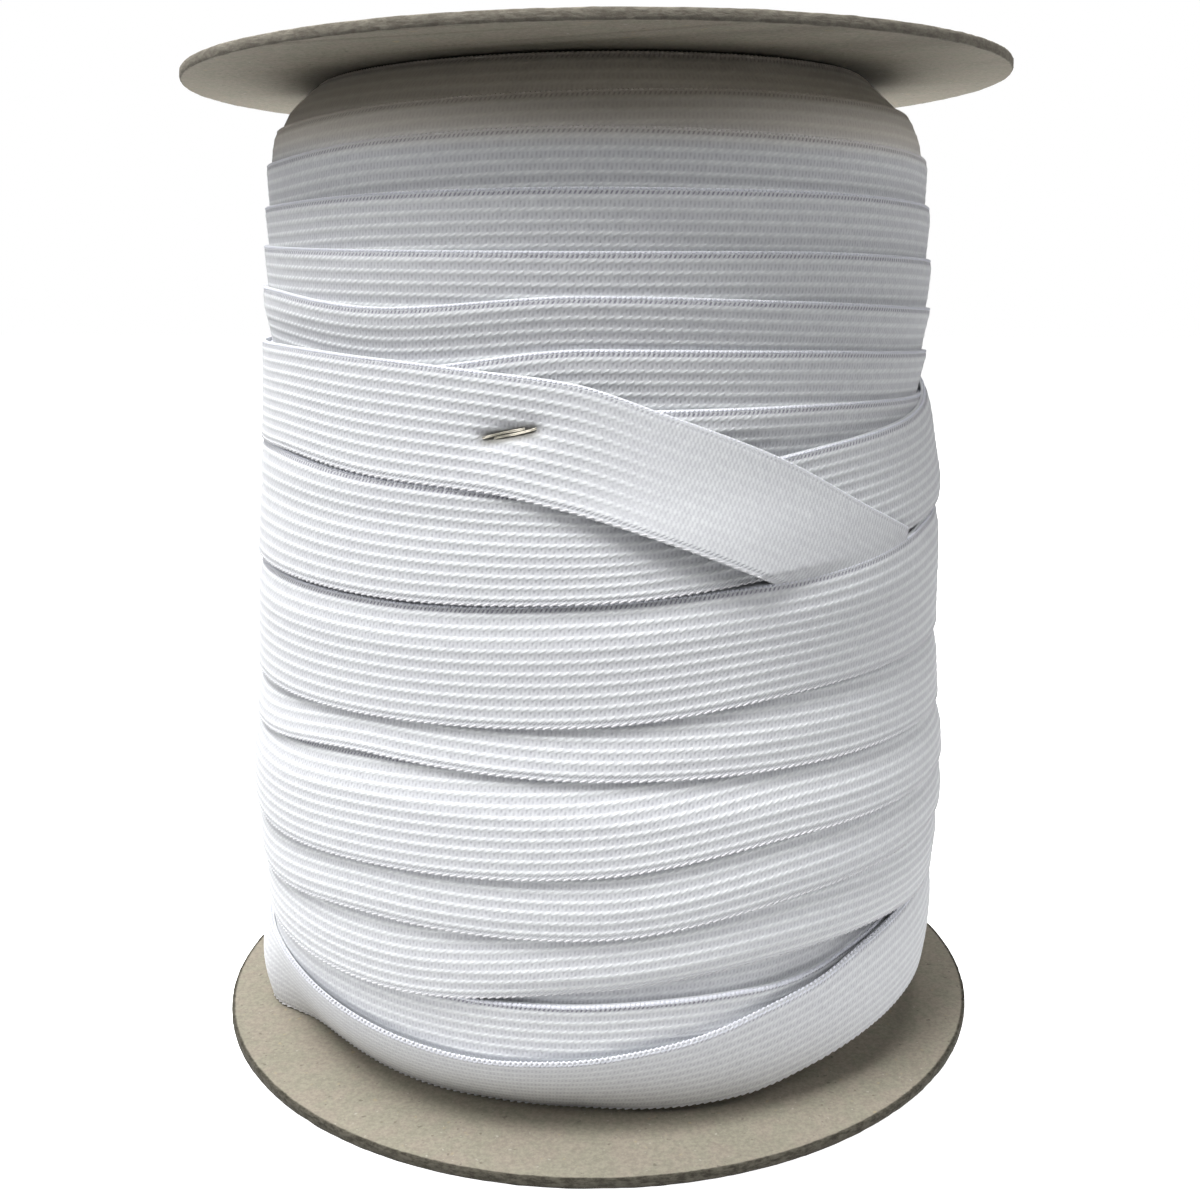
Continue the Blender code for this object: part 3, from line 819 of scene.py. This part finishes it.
def elasticMaterial(name, strokes=0.0):
    # every rib is a rope of slanted dashes, and two lines of small holes lie between ribs, laid out
    # as the knit is and shown by painted highlight on the dashes and crests and painted shade in
    # the holes, lines and valleys;
    # strokes is how far steep ones take the place of both where the ribs are pressed flat
    paint = Painter(name)
    uv = paint.add("ShaderNodeUVMap", {"uv_map": "along and across"}).outputs[0]
    split = paint.add("ShaderNodeSeparateXYZ", None, {0: uv})
    along = Value(paint, split.outputs[0]) * 1000.0
    across = Value(paint, split.outputs[1]) * 1000.0
    plain = paint.value("ShaderNodeAttribute", "Fac", {"attribute_name": "plainness"})
    pitch = elastic["ribPitch"]
    stitch = elastic["stitch"]
    ribPlace = (across - elastic["firstRib"]) / pitch
    fromCrest = ((ribPlace + 0.5).fract() - 0.5) * pitch
    belowCrest = ribPlace.fract() * pitch
    phase = (along + across * knit["lean"]) / stitch
    step = phase.fract() - 0.5
    middle = across.between(*knit["middle"][0]) * across.fading(*knit["middle"][1])

    ends = step.absolute().fading(*knit["dashEnds"]) * step.between(*knit["dashSwell"])
    dash = (fromCrest + step * knit["climb"]).absolute().fading(*knit["dash"]) * ends
    ridge = fromCrest.absolute().fading(*knit["ridge"])
    holes = None
    for ahead, below in knit["holes"]:
        beside = ((phase + ahead).fract() - 0.5).absolute() * stitch
        spot = beside.fading(*knit["holeLong"])
        spot = spot * (belowCrest - below).absolute().fading(*knit["holeWide"])
        holes = spot if holes is None else holes.over(spot)
    line = ((phase * 2.0 + 0.1).fract() - 0.5).absolute().fading(*knit["line"])
    line = line * (1.0 - ridge)

    slant = (along + across * 0.6) / knit["eyelet"]
    eyelets = (across - knit["cord"]).absolute().fading(*knit["eyeletWide"])
    eyelets = eyelets * (slant.fract() - 0.5).absolute().fading(*knit["eyeletLong"])
    eyelets = eyelets * (1.0 - plain * 0.5)
    footPlace = ((along + across) / (stitch / 2)).fract() - 0.5
    footStart, footEnd = knit["foot"]
    feet = footPlace.absolute().fading(*knit["footLong"])
    feet = feet * across.between(footStart - knit["footFade"], footStart)
    feet = feet * across.fading(footEnd, footEnd + knit["footFade"])

    # painted highlight on the crests and dashes, painted shade in the holes and in the lines
    # between ribs
    ribbed = ridge * bright["ridge"] + dash * bright["dash"] - holes * bright["hole"]
    ribbed = ribbed - line * bright["line"]
    shifted = (across / knit["steepRow"]).math("FLOOR") * knit["steepShift"]
    steep = ((along + across * knit["steepLean"]) / (stitch / 2) + shifted).fract() - 0.5
    smooth = steep.absolute().between(*knit["steep"]) * (bright["stroke"] * strokes)
    smooth = smooth - bright["betweenStrokes"] * strokes
    pressed = dash * bright["pressedDash"] - holes * bright["pressedHole"]
    smooth = smooth + (pressed - line * bright["pressedLine"]) * (1.0 - strokes)
    uneven = (paint.noise(uv, 520.0, 1.0) - 0.5) * bright["uneven"]
    shown = (ribbed * (1.0 - plain * 0.88) + smooth * plain + uneven) * middle
    # painted shade in the eyelets under the top cord and in the slits above the bottom cord
    shown = shown - eyelets * (bright["eyelet"] * (1.0 - 0.45 * strokes))
    shown = shown - feet * bright["foot"]
    shown = (shown + bright["face"]).over(0.0).under(1.0)
    shade = paint.blend(shown.socket, tint["hole"], tint["float"])
    where = paint.add("ShaderNodeTexCoord").outputs["Object"]
    broad = paint.noise(where, 60.0, 3.0)
    shade = paint.blend((broad.between(0.35, 0.75) * 0.10).socket, shade, tint["shadow"])
    # painted warm bounce light from the board on the uppermost turns
    shade = paintedBoardBounce(paint, where, shade, 0.5)
    if strokes:
        # painted shade in the staple's slot and under its wires
        slotShadeMask = paint.value("ShaderNodeAttribute", "Fac", {"attribute_name": "slotShadeMask"})
        shade = paint.blend((slotShadeMask * 0.86).socket, shade, tint["stapleShade"])

    relief = (dash * 0.6 + ridge * 0.2 - holes * 0.5) * (1.0 - plain * 0.8) * middle
    relief = relief - eyelets * 0.6 - feet * 0.4
    return paint.finish(
        Base_Color=shade, Roughness=0.85, Sheen_Weight=0.2, Sheen_Roughness=0.5,
        Specular_IOR_Level=0.25, Normal=paint.bump(relief, 0.00018, 0.65))


def edgeMaterial(name, tints):
    paint = Painter(name)
    where = paint.add("ShaderNodeTexCoord").outputs["Object"]
    worn = paint.noise(where, 900.0, 2.0)
    # painted warm bounce light from the board on the uppermost turns
    shade = paintedBoardBounce(paint, where, paint.blend(worn.socket, *tints), 0.6)
    return paint.finish(
        Base_Color=shade, Roughness=0.8, Sheen_Weight=0.2, Sheen_Roughness=0.5,
        Specular_IOR_Level=0.3, Normal=paint.bump(worn, 0.00008, 0.6))


woundElastic = elasticMaterial("ribbed elastic")
looseElastic = elasticMaterial("ribbed elastic, loose end", strokes=1.0)
cordElastic = edgeMaterial("knitted edge, upper", tint["cord"])
footElastic = edgeMaterial("knitted edge, lower", tint["foot"])
print("elastic's finish made")


# the turns and their knitted edges

fallingEnd = seam + 360.0 * len(fallingTops)
looseEdge = looseCount + loose["tip"]
falling, fallingLength = ribbon("falling_turns", "falling", seam - 360, fallingEnd, woundElastic)
first, firstLength = ribbon("first_turn", "falling", seam - 720, seam - 360, woundElastic)
rising, risingLength = ribbon("rising_turns", "rising", -320.0, looseStart, woundElastic)
looseEnd, looseLength = ribbon("loose_end", "rising", looseStart, looseEdge, looseElastic,
                               4, risingLength)
under, underLength = ribbon("under_turn", "under", -140.0, 94.9, woundElastic)
behind, behindLength = ribbon("turn_behind", "behind", -60.0, 94.9, woundElastic)

fallingStitches = stitches("falling_edges", [("falling", seam - 330, fallingEnd, "top")],
                           cordElastic)
risingStitches = stitches("rising_edges", [
    ("rising", -260.0, 75.0, "hem"), ("rising", -260.0, 75.0, "picot"),
    ("rising", 1560.0, looseStart, "top")], cordElastic)
risingFeet = stitches("rising_feet", [("rising", -250.0, looseStart, "foot")], footElastic)
looseStitches = stitches("loose_edges", [("rising", looseStart, looseEdge, "top")],
                         cordElastic)
looseFeet = stitches("loose_feet", [("rising", looseStart, looseEdge, "foot")],
                     footElastic)
underStitches = stitches("under_edges", [("under", -100.0, 92.0, "roll")], cordElastic)


# the turns further in, of which only chinks show

inner = {
    "heights": (2.8, 14, 26, 30, 45, 66, 89, 112, 134, 150, 178, 200, 221, 231, 239.0),
    "radii": (74.5, 75.0, 76.5, 84.0, 86.0, 87.5, 86.0, 85.8, 85.6, 81.5, 79.5, 79.5, 77.5, 73, 64),
    "sides": 96,
}


def innerTurns():
    heights, radii = inner["heights"], inner["radii"]
    core = addRing(inner["sides"], radii[0], heights[0])
    core.name = core.data.name = "inner_turns"
    for before, after, low, high in zip(radii, radii[1:], heights, heights[1:]):
        drawUp(high - low, after / before)
    turnOutward()
    bpy.ops.object.mode_set(mode="OBJECT")
    bpy.ops.object.shade_smooth()
    core.data.materials.append(woundElastic)
    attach(core, "root")


innerTurns()
print("inner turns made")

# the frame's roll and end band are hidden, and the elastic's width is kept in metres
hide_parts("roll")
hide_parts("roll")
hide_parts("end_band")
width = elastic["width"] * mm


# the staple: its crown is under the loose end, and its legs are folded over it side by side

def staplePlace(along, across, out):
    lean = staple["slope"]
    sideways = along * math.cos(lean) - across * math.sin(lean)
    height = staple["height"] + along * math.sin(lean) + across * math.cos(lean)
    azimuth = staple["azimuth"] + math.degrees(sideways / (outline(height) + loose["clear"]))
    face = Column("rising", looseCount + 360.0 + azimuth).radius(height)
    return Vector(place(azimuth, face + out, height))


def stapleWire(material):
    # a flattened ring of points, extruded from each leg's chisel tip down through its corner
    half = staple["crown"] / 2
    wide, thick = staple["wire"]
    start, reach = staple["parting"]
    legs = []
    for way in (1, -1):
        route = []
        for fromCorner, out, size in staple["leg"]:
            aside = way * staple["spread"] * clamp((fromCorner - start) / reach)
            route.append((staplePlace(way * (fromCorner - half), aside, out), size))
        leg = addRing(staple["sides"], 0.5)
        for _ in route[1:]:
            drawUp(1.0)
        bpy.ops.object.mode_set(mode="OBJECT")
        for vertex in leg.data.vertices:
            ring = round(vertex.co.z / mm)
            middle, size = route[ring]
            before, after = route[max(ring - 1, 0)][0], route[min(ring + 1, len(route) - 1)][0]
            ahead = (after - before).normalized()
            sideways = ahead.cross(Vector((middle.x, middle.y, 0.0)).normalized())
            if sideways.length < 0.5:       # where the leg goes straight in
                sideways = Vector((0.0, 0.0, 1.0))
            sideways.normalize()
            upright = sideways.cross(ahead)
            vertex.co = (middle + sideways * vertex.co.x * wide
                         + upright * vertex.co.y * thick * size)
        leg.data.materials.append(material)
        legs.append(leg)
    deselectAll()
    for leg in legs:
        leg.select_set(True)
    bpy.context.view_layer.objects.active = legs[0]
    bpy.ops.object.join()
    wire = bpy.context.object
    wire.name = wire.data.name = "staple_legs"
    bpy.ops.object.mode_set(mode="EDIT")
    turnOutward()
    bpy.ops.object.mode_set(mode="OBJECT")
    bpy.ops.object.shade_smooth_by_angle(angle=math.radians(50))
    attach(wire, "root")
    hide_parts("staple")


def steel():
    paint = Painter("dull steel wire")
    where = paint.add("ShaderNodeTexCoord").outputs["Object"]
    scratched = paint.noise(where, 900.0, 3.0)
    tarnish = paint.noise(where, 260.0, 2.0).between(0.35, 0.65)
    shade = paint.blend(tarnish.socket, *staple["steel"])
    return paint.finish(Base_Color=shade, Metallic=0.9,
                        Roughness=scratched.between(0.2, 0.8, 0.30, 0.48),
                        Normal=paint.bump(scratched, 0.00004, 0.5))


stapleWire(steel())
print("staple made")


# chipboard flanges

board = {
    "across": 203.2, "sides": 480,
    "section": ((0.0, -0.32), (0.22, -0.04), (0.8, 0.05), (1.5, 0.0), (2.1, -0.05), (2.4, -0.30)),
    "ragged": 0.17,             # of the rim, in mm
    "margin": 1.6,              # of the face that the ragged rim reaches into
    "pulp": ((0.160, 0.139, 0.109), (0.312, 0.283, 0.224)),
    "mottle": ((0.252, 0.222, 0.184), (0.222, 0.220, 0.170)),    # pinkish and greenish grey
    "flecks": (                 # scale, how rare, colour: dark, pale and straw
        (620.0, 0.69, (0.12, 0.105, 0.085)), (800.0, 0.70, (0.36, 0.345, 0.30)),
        (430.0, 0.68, (0.30, 0.255, 0.165))),
    "rim": {"lower": ((0.028, 0.025, 0.018), (0.085, 0.078, 0.061)),
            "upper": ((0.130, 0.116, 0.094), (0.205, 0.190, 0.155))},
    "worn": {"lower": (1.15, 0.55), "upper": (0.42, 0.22)},     # how far in the rim's dark reaches
}


def chipboard(side):
    paint = Painter("chipboard, " + side)
    where = paint.add("ShaderNodeTexCoord").outputs["Object"]
    split = paint.add("ShaderNodeSeparateXYZ", None, {0: where})
    x, y = Value(paint, split.outputs[0]), Value(paint, split.outputs[1])
    reach = (x * x + y * y).math("SQRT") * 1000.0
    edge = board["across"] / 2
    fray = paint.noise(where, 700.0, 2.0) * 0.5 - 0.25
    far, near = board["worn"][side]
    rim = (reach + fray).between(edge - far, edge - near)
    pulp = paint.noise(where, 1000.0, 5.0, 0.72)
    broad = paint.noise(where, 42.0, 3.0)
    shade = paint.blend((pulp.between(0.30, 0.70) * 0.8 + broad * 0.2).socket, *board["pulp"])
    cast = paint.noise(where, 210.0, 2.0).between(0.35, 0.65)
    shade = paint.blend(0.42, shade, paint.blend(cast.socket, *board["mottle"]))
    for scale, start, colour in board["flecks"]:
        fleck = paint.noise(where, scale, 1.5).between(start, start + 0.08) * 0.7
        shade = paint.blend(fleck.socket, shade, colour)
    flat = paint.add("ShaderNodeMapping", None, {0: where, "Scale": (1.0, 1.0, 2.6)}).outputs[0]
    torn = paint.noise(flat, 480.0, 4.0, 0.7)
    worn = paint.blend(torn.between(0.32, 0.68).socket, *board["rim"][side])
    shade = paint.blend(rim.socket, shade, worn)
    relief = pulp * (1.0 - rim) + torn * rim * 3.0
    return paint.finish(Base_Color=shade, Roughness=0.93, Specular_IOR_Level=0.2,
                        Normal=paint.bump(relief, 0.00012, 0.7))


def flange(node, middle, tilt, seed):
    # a disc of board, drawn up ring by ring, its rim a little torn
    edge = board["across"] / 2
    section = board["section"]
    disc = addRing(board["sides"], edge + section[0][1], middle - section[-1][0] / 2)
    disc.name = disc.data.name = node + "_board"
    for (low, before), (high, after) in zip(section, section[1:]):
        drawUp(high - low, (edge + after) / (edge + before))
    mesh = bmesh.from_edit_mesh(disc.data)
    for face in mesh.faces:
        face.select_set(len(face.verts) > 4)
    bmesh.update_edit_mesh(disc.data)
    bpy.ops.mesh.inset(thickness=board["margin"] * mm)
    bpy.ops.mesh.select_all(action="DESELECT")
    bpy.ops.mesh.select_mode(type="VERT")
    mesh = bmesh.from_edit_mesh(disc.data)
    for vertex in mesh.verts:
        if vertex.co.xy.length > (edge - board["margin"] / 2) * mm:
            vertex.select_set(True)
    mesh.select_flush(True)
    bmesh.update_edit_mesh(disc.data)
    bpy.ops.transform.vertex_random(offset=board["ragged"] * mm, seed=seed)
    bpy.ops.mesh.vertices_smooth(factor=0.5, repeat=1)
    turnOutward()
    if tilt:
        bpy.ops.transform.rotate(value=tilt, orient_axis="Y",
                                 center_override=(0, 0, middle * mm))
    bpy.ops.object.mode_set(mode="OBJECT")
    bpy.ops.object.shade_smooth_by_angle(angle=math.radians(40))
    side = node.split("_")[1]
    disc.data.materials.append(chipboard(side))
    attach(disc, "root")
    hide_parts(node)


flange("flange_lower", crown["half"], 0.0, 3)
flange("flange_upper", crown["height"], crown["tilt"], 8)
print("flanges made")


# floor and light

light = {
    "middle": (0.0, 0.0, 0.12),     # what the lamps face, at the same distance from it
    "distance": 1.3,
    "lamps": (                      # name, azimuth, elevation, power, size
        ("overhead", 0, 85, 11.2, 0.8), ("high left", -38, 64, 17.5, 0.45),
        ("high back left", -124, 52, 11.5, 0.8), ("back", 180, 30, 3.2, 0.8),
        ("right", 66, 36, 6.4, 0.7), ("left", -50, 37, 6.8, 0.7), ("front", 0, 10, 0.8, 0.7)),
    "bounce": (                     # from the floor: name, place, size, power
        ("floor behind", (0.0, 0.4), 0.6, 3.8), ("floor beneath", (0.0, 0.0), 0.5, 0.75)),
    "room": 0.015,
}


def addLamp(name, spot, target, size, power):
    data = bpy.data.lights.new(name, "AREA")
    data.shape = "DISK"
    data.size = size
    data.energy = power
    lamp = bpy.data.objects.new(name, data)
    bpy.context.scene.collection.objects.link(lamp)
    lamp.location = spot
    lamp.rotation_euler = (target - spot).to_track_quat("-Z", "Y").to_euler()
    lamp.visible_camera = False


def studio():
    deselectAll()
    bpy.ops.mesh.primitive_plane_add(size=8.0, location=(0, 0, -0.0002))
    floor = bpy.context.object
    floor.name = "floor"
    paint = Painter("pale floor")
    floor.data.materials.append(paint.finish(
        Base_Color=(0.9, 0.9, 0.9, 1.0), Roughness=0.9, Specular_IOR_Level=0.0,
        Emission_Color=(1.0, 1.0, 1.0, 1.0), Emission_Strength=1.0))
    floor.visible_diffuse = False      # its bounce is the room's own brightness from below

    world = bpy.data.worlds.new("studio")
    bpy.context.scene.world = world
    world.use_nodes = True
    tree = world.node_tree
    room = tree.nodes["Background"]
    seen = tree.nodes.new("ShaderNodeBackground")
    for backdrop in (room, seen):
        backdrop.inputs["Color"].default_value = (1.0, 1.0, 1.0, 1.0)
    room.inputs["Strength"].default_value = light["room"]
    rays = tree.nodes.new("ShaderNodeLightPath")
    choice = tree.nodes.new("ShaderNodeMixShader")
    tree.links.new(rays.outputs["Is Camera Ray"], choice.inputs[0])
    tree.links.new(room.outputs[0], choice.inputs[1])
    tree.links.new(seen.outputs[0], choice.inputs[2])
    tree.links.new(choice.outputs[0], tree.nodes["World Output"].inputs[0])

    middle = Vector(light["middle"])
    for name, azimuth, elevation, power, size in light["lamps"]:
        around, up = math.radians(azimuth), math.radians(elevation)
        level = math.cos(up)
        away = Vector((math.sin(around) * level, -math.cos(around) * level, math.sin(up)))
        addLamp(name, middle + light["distance"] * away, middle, size, power)
    for name, (x, y), size, power in light["bounce"]:
        addLamp(name, Vector((x, y, 0.0004)), Vector((x, y, 1.0)), size, power)


studio()
bpy.context.scene.view_settings.view_transform = "Standard"
print("floor and lamps placed")
